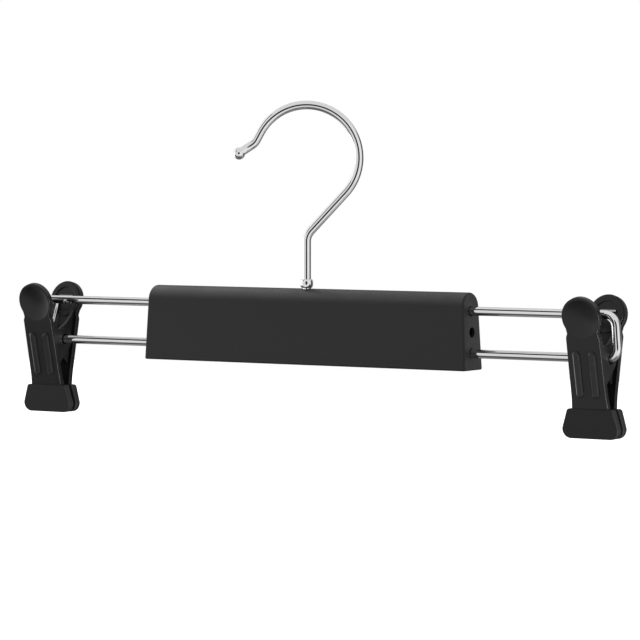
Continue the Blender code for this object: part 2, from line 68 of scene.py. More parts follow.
rubAndHighlightTurn, rubAndHighlightSpan = 13.0, 6.0  # an edge is rubbed, with a painted highlight, from this turn between its faces, fully so past the span
mouldedTurn, wireTurn = 32.0, 50.0  # edges sharper than this stay sharp in the shading


def jointPlace(name):
    joint = next(j for j in frame["joints"] if j["name"] == name)
    return Vector(joint["pos_m"]) / mm


crest = jointPlace("hook_swivel").z  # top of the body, on the hook's axis
lowerRodZ = jointPlace("left_front_pivot").z
print("frame read: crest %.2f mm, lower rod %.2f mm" % (crest, lowerRodZ))


# Drawing tools

def arcPoints(centre, radius, start, end, step=3.0):
    count = max(2, round(abs(end - start) / step))
    turns = [radians(start + (end - start) * i / count) for i in range(count + 1)]
    return [(centre[0] + radius * cos(a), centre[1] + radius * sin(a)) for a in turns]


def roundedOutline(corners):  # corners are (across, up, radius)
    outline = []
    for i, (x, y, radius) in enumerate(corners):
        here = Vector((x, y))
        toLast = (Vector(corners[i - 1][:2]) - here).normalized()
        toNext = (Vector(corners[(i + 1) % len(corners)][:2]) - here).normalized()
        half = acos(max(-1.0, min(1.0, toLast.dot(toNext)))) / 2
        middle = here + (toLast + toNext).normalized() * radius / sin(half)
        first = here + toLast * radius / tan(half) - middle
        last = here + toNext * radius / tan(half) - middle
        start = degrees(atan2(first.y, first.x))
        turn = (degrees(atan2(last.y, last.x)) - start + 180) % 360 - 180
        outline += arcPoints(middle, radius, start, start + turn, step=6)
    return outline


def mirroredOutline(side):  # the right half, listed downwards from the top centre
    return side + [(-x, y) for x, y in reversed(side) if abs(x) > seamGap]


def meshFrom(work, name):
    bmesh.ops.recalc_face_normals(work, faces=work.faces)
    mesh = bpy.data.meshes.new(name)
    work.to_mesh(mesh)
    work.free()
    return mesh


def loft(rings, turn=Matrix.Identity(4)):  # rings of points, joined in turn and closed at both ends
    work = bmesh.new()
    loops = [[work.verts.new(point) for point in ring] for ring in rings]
    for under, over in zip(loops, loops[1:]):
        for i in range(len(under)):
            work.faces.new((under[i - 1], under[i], over[i], over[i - 1]))
    for end in (loops[0], loops[-1]):
        work.faces.new(end)
    bmesh.ops.transform(work, matrix=turn, verts=work.verts)
    return meshFrom(work, "loft")


def prism(outline, depth, turn):  # a flat outline given a depth, centred on its plane
    return loft([[(x, y, z) for x, y in outline] for z in (-depth / 2, depth / 2)], turn)


def block(size, centre):
    work = bmesh.new()
    bmesh.ops.create_cube(work, size=1, matrix=Matrix.Translation(centre) @ Matrix.Diagonal((*size, 1)))
    return meshFrom(work, "block")


def lathe(profile, turn, steps=64):  # the profile holds (radius, height), axis to axis or closed
    work = bmesh.new()
    line = [work.verts.new((radius, 0, height)) for radius, height in profile]
    edges = [work.edges.new(pair) for pair in zip(line, line[1:])]
    bmesh.ops.spin(work, geom=line + edges, axis=(0, 0, 1), angle=2 * pi, steps=steps, use_merge=True)
    bmesh.ops.remove_doubles(work, verts=work.verts, dist=seamGap)
    bmesh.ops.transform(work, matrix=turn, verts=work.verts)
    return meshFrom(work, "turned")


def newObject(name, data):
    made = bpy.data.objects.new(name, data)
    bpy.context.scene.collection.objects.link(made)
    return made


def evaluatedMesh(source):
    bpy.context.view_layer.update()
    graph = bpy.context.evaluated_depsgraph_get()
    made = source.evaluated_get(graph)
    return bpy.data.meshes.new_from_object(made, preserve_all_data_layers=True, depsgraph=graph)


def combined(base, *steps):  # each step is a Boolean's operation and the mesh it uses
    target = newObject("base", base)
    tools = [target]
    for operation, mesh in steps:
        tool = newObject("tool", mesh)
        modifier = target.modifiers.new(operation.lower(), "BOOLEAN")
        modifier.operation = operation
        modifier.object = tool
        tools.append(tool)
    mesh = evaluatedMesh(target)
    for tool in tools:
        bpy.data.objects.remove(tool)
    work = bmesh.new()
    work.from_mesh(mesh)
    bmesh.ops.remove_doubles(work, verts=work.verts, dist=mergeGap)
    bmesh.ops.dissolve_degenerate(work, edges=work.edges, dist=mergeGap)
    return meshFrom(work, "combined")


def softened(mesh, radius, segments=3, limit=35):  # rounds every edge sharper than the limit
    target = newObject("soft", mesh)
    bevel = target.modifiers.new("soft edges", "BEVEL")
    bevel.width = radius
    bevel.segments = segments
    bevel.limit_method = "ANGLE"
    bevel.angle_limit = radians(limit)
    rounded = evaluatedMesh(target)
    bpy.data.objects.remove(target)
    return rounded


def markEdges(mesh):  # a mask that is 1 on the rounding of outer edges, for the rub and the painted edge highlight on mouldings
    work = bmesh.new()
    work.from_mesh(mesh)
    mask = []
    for vert in work.verts:
        sharpest = max(degrees(edge.calc_face_angle_signed(0)) for edge in vert.link_edges)
        mask.append(max(0.0, min(1.0, (sharpest - rubAndHighlightTurn) / rubAndHighlightSpan)))
    work.free()
    mesh.attributes.new("edgeRub", "FLOAT", "POINT").data.foreach_set("value", mask)


def smoothShading(mesh, limit):
    mesh.shade_smooth()
    mesh.set_sharp_from_angle(angle=radians(limit))


def evenShading(mesh):  # smooth, with flat faces kept flat beside their rounded edges
    smoothShading(mesh, mouldedTurn)
    target = newObject("even", mesh)
    weighted = target.modifiers.new("even shading", "WEIGHTED_NORMAL")
    weighted.keep_sharp = True
    result = evaluatedMesh(target)
    bpy.data.objects.remove(target)
    return result


def settle(name, mesh, place, finish, nodes, body):  # puts a piece where its nodes are, on their body
    mesh = mesh.copy()
    mesh.transform(Matrix.Scale(mm, 4) @ place)
    mesh.materials.clear()
    mesh.materials.append(finish)
    piece = newObject(name, mesh)
    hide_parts(*nodes)
    if body:
        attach(piece, body)
    return piece


# Node helpers, for the shaders and the geometry trees

def fillSocket(tree, socket, value):
    if isinstance(value, bpy.types.NodeSocket):
        tree.links.new(value, socket)
    else:
        socket.default_value = value


def addNode(tree, kind, settings=None, **inputs):  # inputs by name, each a value or another node's output
    node = tree.nodes.new(kind)
    for key, value in (settings or {}).items():
        setattr(node, key, value)
    for key, value in inputs.items():
        fillSocket(tree, node.inputs[key.replace("_", " ")], value)
    return node


def sums(tree, operation, *values):  # one Math node; values are numbers or outputs
    node = tree.nodes.new("ShaderNodeMath")
    node.operation = operation
    for socket, value in zip(node.inputs, values):
        fillSocket(tree, socket, value)
    return node.outputs[0]


def weightedSum(tree, first, firstShare, second, secondShare):
    return sums(tree, "ADD", sums(tree, "MULTIPLY", first, firstShare),
                sums(tree, "MULTIPLY", second, secondShare))


def spread(tree, value, fromLow, fromHigh, toLow, toHigh):  # a smooth ramp between two levels
    node = addNode(tree, "ShaderNodeMapRange", {"interpolation_type": "SMOOTHSTEP"}, Value=value,
                   From_Min=fromLow, From_Max=fromHigh, To_Min=toLow, To_Max=toHigh)
    return node.outputs["Result"]


def mixShaders(tree, share, first, second, put):
    mix = tree.nodes.new("ShaderNodeMixShader")
    for value, socket in zip((share, first, second), mix.inputs):
        tree.links.new(value, socket)
    tree.links.new(mix.outputs[0], put)


def newGroup(name, kind, inputs, outputs):  # inputs are (name, kind, default), outputs (name, kind)
    tree = bpy.data.node_groups.new(name, kind)
    for socketName, socketKind, default in inputs:
        socket = tree.interface.new_socket(socketName, in_out="INPUT", socket_type="NodeSocket" + socketKind)
        if default is not None:
            socket.default_value = default
    for socketName, socketKind in outputs:
        tree.interface.new_socket(socketName, in_out="OUTPUT", socket_type="NodeSocket" + socketKind)
    return tree, tree.nodes.new("NodeGroupInput").outputs, tree.nodes.new("NodeGroupOutput").inputs


def shaderGroup(name, inputs, outputs):  # every socket is a number
    return newGroup(name, "ShaderNodeTree", [(key, "Float", value) for key, value in inputs.items()],
                    [(key, "Float") for key in outputs])


# Shader groups that several finishes share

def grainGroup():  # moulded skin: a fine grain, and a slow change of tone where the plastic flowed
    tree, given, put = shaderGroup("mouldedGrain", {"Grain Size": 0.0003, "Flow Size": 0.012},
                                   ("Height", "Grain", "Flow"))
    place = tree.nodes.new("ShaderNodeTexCoord").outputs["Object"]
    perGrain = sums(tree, "DIVIDE", 1.0, given["Grain Size"])
    fine = addNode(tree, "ShaderNodeTexNoise", Vector=place, Scale=perGrain, Detail=3.0, Roughness=0.6)
    perPit = sums(tree, "DIVIDE", 0.6, given["Grain Size"])
    pits = addNode(tree, "ShaderNodeTexVoronoi", Vector=place, Scale=perPit)
    perFlow = sums(tree, "DIVIDE", 1.0, given["Flow Size"])
    slow = addNode(tree, "ShaderNodeTexNoise", Vector=place, Scale=perFlow, Detail=4.0, Roughness=0.55,
                   Distortion=0.6)
    height = weightedSum(tree, fine.outputs["Fac"], 0.7, pits.outputs["Distance"], 0.3)
    tree.links.new(height, put["Height"])
    tree.links.new(fine.outputs["Fac"], put["Grain"])
    tree.links.new(slow.outputs["Fac"], put["Flow"])
    return tree


def rubAndHighlightGroup():  # outer edges rubbed by handling and lightened as a painted highlight, broken up so that the line is never even
    tree, given, put = shaderGroup("edgeRub", {"Patch Size": 0.002, "Amount": 0.5}, ("Mask",))
    edge = addNode(tree, "ShaderNodeAttribute", {"attribute_name": "edgeRub"}).outputs["Fac"]
    place = tree.nodes.new("ShaderNodeTexCoord").outputs["Object"]
    perPatch = sums(tree, "DIVIDE", 1.0, given["Patch Size"])
    patch = addNode(tree, "ShaderNodeTexNoise", Vector=place, Scale=perPatch, Detail=5.0, Roughness=0.65)
    broken = spread(tree, patch.outputs["Fac"], 0.3, 0.7, 0.25, 1.0)
    paleAndHighlightTone = sums(tree, "MULTIPLY", sums(tree, "MULTIPLY", edge, broken), given["Amount"])
    tree.links.new(paleAndHighlightTone, put["Mask"])
    return tree


def drawnGroup():  # drawn wire: faint lines along its length and a haze from handling
    tree, given, put = shaderGroup("drawnWire", {"Line Count": 9.0, "Haze Length": 6.0}, ("Lines", "Haze"))
    spot = addNode(tree, "ShaderNodeAttribute", {"attribute_name": "wireCoord"}).outputs["Vector"]
    part = addNode(tree, "ShaderNodeSeparateXYZ", Vector=spot).outputs
    slowly = sums(tree, "MULTIPLY", part["Z"], 0.02)  # the lines are long
    stretched = addNode(tree, "ShaderNodeCombineXYZ", X=part["X"], Y=part["Y"], Z=slowly)
    lines = addNode(tree, "ShaderNodeTexNoise", Vector=stretched.outputs[0], Scale=given["Line Count"],
                    Detail=5.0, Roughness=0.7)
    perHaze = sums(tree, "DIVIDE", part["Z"], given["Haze Length"])
    cloudy = addNode(tree, "ShaderNodeCombineXYZ", X=part["X"], Y=part["Y"], Z=perHaze)
    haze = addNode(tree, "ShaderNodeTexNoise", Vector=cloudy.outputs[0], Scale=1.0, Detail=5.0, Roughness=0.6,
                   Distortion=0.4)
    tree.links.new(lines.outputs["Fac"], put["Lines"])
    tree.links.new(spread(tree, haze.outputs["Fac"], 0.35, 0.75, 0.0, 1.0), put["Haze"])
    return tree


grain = grainGroup()
rubAndHighlight = rubAndHighlightGroup()
drawn = drawnGroup()


# Finishes

def newFinish(name):
    finish = bpy.data.materials.new(name)
    finish.use_nodes = True
    return finish, finish.node_tree, finish.node_tree.nodes["Principled BSDF"]


def placeGroup(tree, group, **inputs):
    node = tree.nodes.new("ShaderNodeGroup")
    node.node_tree = group
    for key, value in inputs.items():
        node.inputs[key.replace("_", " ")].default_value = value
    return node.outputs


def mixColours(tree, share, first, second):
    node = addNode(tree, "ShaderNodeMix", {"data_type": "RGBA"})
    for index, value in ((0, share), (6, first), (7, second)):  # the colour sockets of a Mix node
        fillSocket(tree, node.inputs[index], value)
    return node.outputs[2]


def addBump(tree, shader, height, strength, depth):
    bump = addNode(tree, "ShaderNodeBump", Height=height, Strength=strength, Distance=depth)
    fillSocket(tree, shader.inputs["Normal"], bump.outputs["Normal"])


def plasticFinish(name, look):
    finish, tree, shader = newFinish(name)
    skin = placeGroup(tree, grain, Grain_Size=look["grainSize"], Flow_Size=look["flowSize"])
    edge = placeGroup(tree, rubAndHighlight, Patch_Size=look["patchSize"], Amount=look["rubAndHighlightAmount"])
    flowed = mixColours(tree, spread(tree, skin["Flow"], 0.3, 0.7, 0.0, 1.0), look["dark"], look["light"])
    speckle = spread(tree, skin["Grain"], 0.5, 0.75, 0.0, look["speckle"])
    speckled = mixColours(tree, speckle, flowed, look["paleAndHighlightTone"])
    # the outer edges take the paler tone: partly wear from handling, partly a painted highlight
    fillSocket(tree, shader.inputs["Base Color"], mixColours(tree, edge["Mask"], speckled, look["paleAndHighlightTone"]))
    uneven = weightedSum(tree, skin["Flow"], 0.6, skin["Grain"], 0.4)
    matt = spread(tree, uneven, 0.3, 0.7, *look["roughness"])
    polished = sums(tree, "MULTIPLY", edge["Mask"], look["polish"])
    fillSocket(tree, shader.inputs["Roughness"], sums(tree, "SUBTRACT", matt, polished))
    addBump(tree, shader, skin["Height"], look["bump"], look["grainDepth"])
    shader.inputs["Specular IOR Level"].default_value = look["specular"]
    return finish


def metalFinish(name, look):
    finish, tree, shader = newFinish(name)
    wire = placeGroup(tree, drawn, Line_Count=look["lineCount"], Haze_Length=look["hazeLength"])
    tone = mixColours(tree, wire["Haze"], look["bright"], look["dull"])
    fillSocket(tree, shader.inputs["Base Color"], tone)
    low, high = look["roughness"]
    lined = spread(tree, wire["Lines"], 0.3, 0.7, 0.0, (high - low) / 2)
    hazed = spread(tree, wire["Haze"], 0.0, 1.0, low, (high + low) / 2)
    fillSocket(tree, shader.inputs["Roughness"], sums(tree, "ADD", lined, hazed))
    addBump(tree, shader, wire["Lines"], look["bump"], look["lineDepth"])
    shader.inputs["Metallic"].default_value = 1.0
    return finish


# the paler tone is the speckle in the grain and the colour of the outer edges, worn and with a painted
# highlight
bodyLook = {"dark": (0.0050, 0.0050, 0.0054, 1), "light": (0.0075, 0.0075, 0.0080, 1),
            "paleAndHighlightTone": (0.024, 0.024, 0.025, 1), "roughness": (0.46, 0.56), "polish": 0.10, "specular": 0.42,
            "grainSize": 0.00030, "flowSize": 0.020, "patchSize": 0.0030, "rubAndHighlightAmount": 0.45,
            "speckle": 0.14, "bump": 0.35, "grainDepth": 0.00001}
clipLook = {"dark": (0.0050, 0.0050, 0.0054, 1), "light": (0.0070, 0.0070, 0.0075, 1),
            "paleAndHighlightTone": (0.024, 0.024, 0.025, 1), "roughness": (0.29, 0.37), "polish": 0.06, "specular": 0.42,
            "grainSize": 0.00022, "flowSize": 0.009, "patchSize": 0.0016, "rubAndHighlightAmount": 0.55,
            "speckle": 0.10, "bump": 0.30, "grainDepth": 0.000008}
jawLook = {"dark": (0.0080, 0.0080, 0.0084, 1), "light": (0.0105, 0.0105, 0.0110, 1),
           "paleAndHighlightTone": (0.024, 0.024, 0.024, 1), "roughness": (0.58, 0.70), "polish": 0.05, "specular": 0.38,
           "grainSize": 0.00018, "flowSize": 0.006, "patchSize": 0.0012, "rubAndHighlightAmount": 0.40,
           "speckle": 0.12, "bump": 0.40, "grainDepth": 0.000010}
chromeLook = {"bright": (0.90, 0.90, 0.91, 1), "dull": (0.83, 0.83, 0.84, 1), "roughness": (0.035, 0.11),
              "lineCount": 9.0, "hazeLength": 7.0, "bump": 0.10, "lineDepth": 0.000010}
springLook = {"bright": (0.86, 0.86, 0.87, 1), "dull": (0.76, 0.76, 0.77, 1), "roughness": (0.06, 0.16),
              "lineCount": 7.0, "hazeLength": 9.0, "bump": 0.05, "lineDepth": 0.000006}

bodyFinish = plasticFinish("body_plastic", bodyLook)
clipFinish = plasticFinish("clip_plastic", clipLook)
jawFinish = plasticFinish("jaw_rubber", jawLook)
chromeFinish = metalFinish("chrome", chromeLook)
springFinish = metalFinish("spring_steel", springLook)
print("finishes made")


# Geometry trees: a round wire along a path, and a row of one shape

def keepField(tree, curve, field):  # holds where a point lies on its curve, so that the mesh knows it too
    capture = tree.nodes.new("GeometryNodeCaptureAttribute")
    capture.capture_items.new("FLOAT", field)
    tree.links.new(curve, capture.inputs["Geometry"])
    tree.links.new(tree.nodes.new("GeometryNodeSplineParameter").outputs[field], capture.inputs[field])
    return capture.outputs["Geometry"], capture.outputs[field]


def endTree(tree, geometry, finish, put):
    real = addNode(tree, "GeometryNodeRealizeInstances", Geometry=geometry)
    painted = addNode(tree, "GeometryNodeSetMaterial", Geometry=real.outputs["Geometry"], Material=finish)
    tree.links.new(painted.outputs["Geometry"], put)


def wireTree():
    tree, given, put = newGroup("roundWire", "GeometryNodeTree",
                                [("Path", "Geometry", None), ("Wire Diameter", "Float", 4.0),
                                 ("Round Sides", "Int", 40), ("Finish", "Material", None)],
                                [("Wire", "Geometry")])
    curve = addNode(tree, "GeometryNodeMeshToCurve", Mesh=given["Path"]).outputs["Curve"]
    radius = sums(tree, "MULTIPLY", given["Wire Diameter"], 0.5)
    ring = addNode(tree, "GeometryNodeCurvePrimitiveCircle", Resolution=given["Round Sides"], Radius=radius)
    along, length = keepField(tree, curve, "Length")
    around, share = keepField(tree, ring.outputs["Curve"], "Factor")
    swell = addNode(tree, "GeometryNodeInputNamedAttribute", {"data_type": "FLOAT"}, Name="swell")
    tube = addNode(tree, "GeometryNodeCurveToMesh", Curve=along, Profile_Curve=around,
                   Scale=swell.outputs["Attribute"], Fill_Caps=True)
    turn = sums(tree, "MULTIPLY", share, 2 * pi)
    spot = addNode(tree, "ShaderNodeCombineXYZ", X=sums(tree, "COSINE", turn), Y=sums(tree, "SINE", turn),
                   Z=sums(tree, "DIVIDE", length, radius))
    stored = addNode(tree, "GeometryNodeStoreNamedAttribute", {"data_type": "FLOAT_VECTOR"},
                     Geometry=tube.outputs["Mesh"], Name="wireCoord", Value=spot.outputs["Vector"])
    endTree(tree, stored.outputs["Geometry"], given["Finish"], put["Wire"])
    return tree


def rowTree():
    tree, given, put = newGroup("shapeRow", "GeometryNodeTree",
                                [("Shape", "Geometry", None), ("Count", "Int", 2), ("First", "Vector", None),
                                 ("Step", "Vector", None), ("Finish", "Material", None)],
                                [("Row", "Geometry")])
    line = addNode(tree, "GeometryNodeMeshLine", Count=given["Count"], Start_Location=given["First"],
                   Offset=given["Step"])
    row = addNode(tree, "GeometryNodeInstanceOnPoints", Points=line.outputs["Mesh"], Instance=given["Shape"])
    endTree(tree, row.outputs["Instances"], given["Finish"], put["Row"])
    return tree


def runTree(tree, start, values):
    carrier = newObject(tree.name, start)
    modifier = carrier.modifiers.new(tree.name, "NODES")
    modifier.node_group = tree
    for socket in tree.interface.items_tree:
        if socket.name in values:
            modifier[socket.identifier] = values[socket.name]
    mesh = evaluatedMesh(carrier)
    bpy.data.objects.remove(carrier)
    return mesh


roundWire = wireTree()
shapeRow = rowTree()


def wireMesh(path, dia, sides, finish, swell=None):
    line = bpy.data.meshes.new("path")
    line.from_pydata(path, [(i, i + 1) for i in range(len(path) - 1)], [])
    line.attributes.new("swell", "FLOAT", "POINT").data.foreach_set("value", swell or [1.0] * len(path))
    mesh = runTree(roundWire, line, {"Wire Diameter": dia, "Round Sides": sides, "Finish": finish})
    work = bmesh.new()
    work.from_mesh(mesh)
    wire = meshFrom(work, "wire")  # outward faces, whichever way the path ran
    smoothShading(wire, wireTurn)
    return wire


def rowMesh(shape, count, first, step):
    return runTree(shapeRow, shape, {"Count": count, "First": first, "Step": step})


print("trees made")


# Body moulding

bodySizes = {"length": 175.6, "depth": 16.2, "height": 35.1, "middle": 1.3, "wall": 2.0, "endDraft": 2.8,
             "sideDraft": 2.0, "crownRise": 6.4, "crownSteps": 28, "edgeRadius": 0.8, "blockLength": 13.0,
             "blockHeight": 11.5, "ribThick": 1.8, "ribPitch": 9.5, "ribsPerEnd": 2, "holeRadius": 2.3,
             "holeFlare": 0.15, "holePitch": 9.6}
rodSizes = {"dia": 4.0, "sides": 40, "insert": 23.0, "upperBend": 5.4, "lowerBend": 4.7, "upperReach": 10.5,
            "lowerReach": 11.2, "clipSpan": 298.0}
underside = crest - bodySizes["height"]


def endPlace(inset, height):  # how far from the middle an end wall stands at a height
    lean = tan(radians(bodySizes["endDraft"]))
    return bodySizes["length"] / 2 - inset - (height - underside) * lean


def bodySection(inset):
    half = bodySizes["depth"] / 2 - inset
    side = bodySizes["height"] - bodySizes["crownRise"]
    shoulder = half - side * tan(radians(bodySizes["sideDraft"]))
    crown = bodySizes["crownRise"] - inset
    steps = bodySizes["crownSteps"]
    turns = [pi / 2 * i / steps for i in range(steps + 1)]
    right = [(shoulder * sin(t), underside + side + crown * cos(t)) for t in turns]
    return mirroredOutline(right + [(half, underside - inset)])


def bodyLoft(inset):
    section, middle = bodySection(inset), bodySizes["middle"]
    return loft([[(middle + side * endPlace(inset, z), y, z) for y, z in section] for side in (-1, 1)])


def endHole(side, height, depth, mouth):  # a hole in an end wall, flared a little where it opens
    radius, flare = bodySizes["holeRadius"], bodySizes["holeFlare"]
    profile = [(0, depth), (radius, depth), (radius, mouth - flare), (radius + flare, mouth),
               (radius + 2 * flare, mouth + flare), (0, mouth + flare)]
    turn = Matrix.Translation((bodySizes["middle"], 0, height)) @ Matrix.Rotation(radians(90 * side), 4, "Y")
    return lathe(profile, turn, steps=48)


def bodyMoulding():
    size = bodySizes
    hook = block((size["blockLength"], size["depth"], size["blockHeight"] * 2), (0, 0, crest))
    hollowSteps = [("DIFFERENCE", hook)]
    rib = block((size["ribThick"], size["depth"], size["height"] * 3), (0, 0, crest))
    for side in (-1, 1):
        first = size["middle"] + side * (size["length"] / 2 - size["ribPitch"])
        ribs = rowMesh(rib, size["ribsPerEnd"], (first, 0, 0), (-side * size["ribPitch"], 0, 0))
        hollowSteps.append(("DIFFERENCE", ribs))
    hollow = combined(bodyLoft(size["wall"]), *hollowSteps)
    bore, low, high = size["holeRadius"], -size["blockHeight"] * 2, size["height"]
    shank = lathe([(0, low), (bore, low), (bore, high), (0, high)], Matrix.Translation((0, 0, crest)))
    cuts = [("DIFFERENCE", hollow), ("DIFFERENCE", shank)]
    rodDepth = size["length"] / 2 - rodSizes["insert"] - fitGap
    bareDepth = size["length"] / 2 - (size["ribPitch"] + size["wall"]) / 2
    for side in (-1, 1):
        for step, depth in ((0, rodDepth), (1, bareDepth), (2, rodDepth)):
            height = lowerRodZ + step * size["holePitch"]
            cuts.append(("DIFFERENCE", endHole(side, height, depth, endPlace(0, height))))
    shell = combined(softened(bodyLoft(0), size["edgeRadius"], segments=4), *cuts)
    markEdges(shell)
    settle("body_moulding", evenShading(shell), Matrix.Identity(4), bodyFinish,
           ["body_shell"], "hanger")


bodyMoulding()
print("body made")


# Hook with its bead and washer

hookSizes = {"dia": 4.0, "sides": 40, "arcRadius": 24.3, "arcStart": 152.0, "arcEnd": -43.0,
             "bendRadius": 7.5, "tipLead": 3.8, "tipBend": 6.0, "tipSlope": 33.4, "tipLength": 7.2,
             "ballDia": 5.6, "ballSteps": 24, "ballOpen": 3.0, "yaw": 32.4, "headDia": 6.6, "headHeight": 2.0,
             "headRound": ((1.0, 0.7), (0.7, 1.0), (0.2, 1.0), (0.0, 0.9))}  # shares of its height and width
beadSizes = {"dia": 6.0, "height": 4.0, "steps": 20}
washerSizes = {"dia": 9.0, "thick": 0.8, "edgeRadius": 0.2}
blockUnder = crest - bodySizes["blockHeight"]


def hookLine():  # from the riveted foot up to the ball, in the hook's own plane, with the swell at each point
    size = hookSizes
    foot = blockUnder - 2 * fitGap - washerSizes["thick"]
    head = size["headDia"] / size["dia"]
    line = [(0, foot - size["headHeight"] * down) for down, wide in size["headRound"]]
    line.append((0, foot + fitGap / 2))
    swell = [head * wide for down, wide in size["headRound"]] + [1.0]
    centre = Vector((0, size["dia"] / 2 - size["arcRadius"]))
    leave = radians(size["arcEnd"])  # from here a straight leg runs to its corner on the shank
    corner = centre.y - size["arcRadius"] * (cos(leave) / tan(-leave) + sin(-leave))
    back = size["bendRadius"] * tan(radians(90 + size["arcEnd"]) / 2)
    bend = arcPoints((size["bendRadius"], corner - back), size["bendRadius"], 180, 90 - size["arcEnd"])
    arc = arcPoints(centre, size["arcRadius"], size["arcEnd"], size["arcStart"], step=2.5)
    start = radians(size["arcStart"])
    lead = Vector((-sin(start), cos(start))) * size["tipLead"]
    turnCentre = Vector(arc[-1]) + lead + Vector((cos(start), sin(start))) * size["tipBend"]
    slope = 180 + size["tipSlope"]
    turn = arcPoints(turnCentre, size["tipBend"], size["arcStart"] - 180, slope - 270)
    line += bend + arc + turn
    swell += [1.0] * (len(bend) + len(arc) + len(turn))
    run = Vector((cos(radians(slope)), sin(radians(slope))))
    ball = size["ballDia"] / 2
    ballAt = Vector(turn[-1]) + run * size["tipLength"]
    neck = -degrees(acos(size["dia"] / 2 / ball))
    for step in range(size["ballSteps"] + 1):
        angle = radians(-90 - neck + (180 + neck - size["ballOpen"]) * step / size["ballSteps"])
        line.append(tuple(ballAt + run * ball * sin(angle)))
        swell.append(ball * cos(angle) / (size["dia"] / 2))
    return [(x, 0, z) for x, z in line], swell


def hookPieces():
    line, swell = hookLine()
    yaw = Matrix.Rotation(radians(hookSizes["yaw"]), 4, "Z")
    wire = wireMesh(line, hookSizes["dia"], hookSizes["sides"], chromeFinish, swell)
    settle("hook_wire", wire, yaw, chromeFinish, ["hook"], "hook_body")
    bore = hookSizes["dia"] / 2 + fitGap
    crown, middle = beadSizes["dia"] / 2 - bore, beadSizes["height"] / 2
    turns = [radians(90 - 180 * i / beadSizes["steps"]) for i in range(beadSizes["steps"] + 1)]
    side = [(bore + crown * cos(a), middle * sin(a)) for a in turns]
    bead = lathe(side + side[:1], Matrix.Translation((0, 0, crest + fitGap + middle)))
    smoothShading(bead, wireTurn)
    settle("hook_collar", bead, yaw, chromeFinish, ["hook_bead"], "hook_body")
    top, rim, edge = blockUnder - fitGap, washerSizes["dia"] / 2, washerSizes["edgeRadius"]
    under = blockUnder - fitGap - washerSizes["thick"]
    outline = [(bore, top)] + arcPoints((rim - edge, top - edge), edge, 90, 0, step=15)
    outline += arcPoints((rim - edge, under + edge), edge, 0, -90, step=15) + [(bore, under), (bore, top)]
    washer = evenShading(lathe(outline, Matrix.Identity(4)))
    settle("washer_ring", washer, Matrix.Identity(4), springFinish,
           ["hook_washer"], "hook_body")


hookPieces()
print("hook made")


# Rods

def rodPieces():
    size = rodSizes
    inner = bodySizes["length"] / 2 - size["insert"]
    clip = size["clipSpan"] / 2
    upperRodZ = lowerRodZ + 2 * bodySizes["holePitch"]
    lowCentre = Vector((clip + size["lowerReach"] - size["lowerBend"], lowerRodZ + size["lowerBend"]))
    highCentre = Vector((clip + size["upperReach"] - size["upperBend"], upperRodZ - size["upperBend"]))
    between = highCentre - lowCentre
    aside = acos((size["lowerBend"] - size["upperBend"]) / between.length)
    lean = degrees(atan2(between.y, between.x) - aside)  # the straight piece between the bends touches both
    low = arcPoints(lowCentre, size["lowerBend"], -90, lean)
    high = arcPoints(highCentre, size["upperBend"], lean, 90)
    line = [(x, 0, z) for x, z in [(inner, lowerRodZ)] + low + high + [(inner, upperRodZ)]]
    wire = wireMesh(line, size["dia"], size["sides"], chromeFinish)
    for name, turn in (("right", 0), ("left", 180)):
        place = Matrix.Translation((bodySizes["middle"], 0, 0)) @ Matrix.Rotation(radians(turn), 4, "Z")
        settle(name + "_rod_wire", wire, place, chromeFinish, [name + "_rod"], "hanger")


rodPieces()
print("rods made")


# Clip levers

leverSizes = {"tilt": 13.0, "faceOffset": 9.36, "thick": 2.6, "edgeRadius": 0.7, "padRadius": 9.2,
              "padRise": 20.8, "padArcEnd": -32.0, "neckHalf": 7.4, "neckRise": 13.6, "shoulderHalf": 8.15,
              "shoulderRise": 11.7, "waistHalf": 8.5, "waistDrop": 15.5, "heelHalf": 9.0, "drop": 21.9,
              "tongueThick": 1.3, "tongueOffset": 1.9, "tongueLength": 9.8, "shaftGap": 0.6, "heelSink": 1.2}
dishSizes = {"radius": 8.5, "depth": 1.2, "drop": 0.5, "lip": 0.6, "easeShare": 0.25, "easeRise": 0.01,
             "easeSteps": 6}
rimSizes = {"width": 2.2, "height": 0.6, "edgeRadius": 0.25}
barSizes = {"count": 2, "spacing": 7.8, "width": 3.4, "top": 5.6, "length": 21.2, "height": 0.8,
            "upright": 0.38, "slope": 0.62, "root": 0.6}
earSizes = {"thick": 1.5, "outerFace": 8.1, "radius": 5.5, "outerRise": 12.2, "outerSweep": 6.5,
            "innerRise": 18.0, "innerSweep": 20.0, "footDrop": 10.5, "edgeRadius": 0.2}
leverTilt = Matrix.Rotation(radians(leverSizes["tilt"]), 4, "X")
tongueDepth = -leverSizes["tongueOffset"] - leverSizes["tongueThick"] / 2  # middle of the tongue
wideEnough = 60.0  # reaches past every side of a clip


def leverFace(offset, height):  # depth of a lever plane at a height above the pivot
    tilt = radians(leverSizes["tilt"])
    return -(offset / cos(tilt) + height * tan(tilt))


def leverFront():
    size = leverSizes
    pad = arcPoints((0, size["padRise"]), size["padRadius"], 90, size["padArcEnd"], step=4)
    blade = [(size["neckHalf"], size["neckRise"]), (size["shoulderHalf"], size["shoulderRise"]),
             (size["waistHalf"], -size["waistDrop"]), (size["heelHalf"], -size["drop"]),
             (size["heelHalf"], -size["drop"] - 2 * size["tongueLength"])]
    return mirroredOutline(pad + blade)


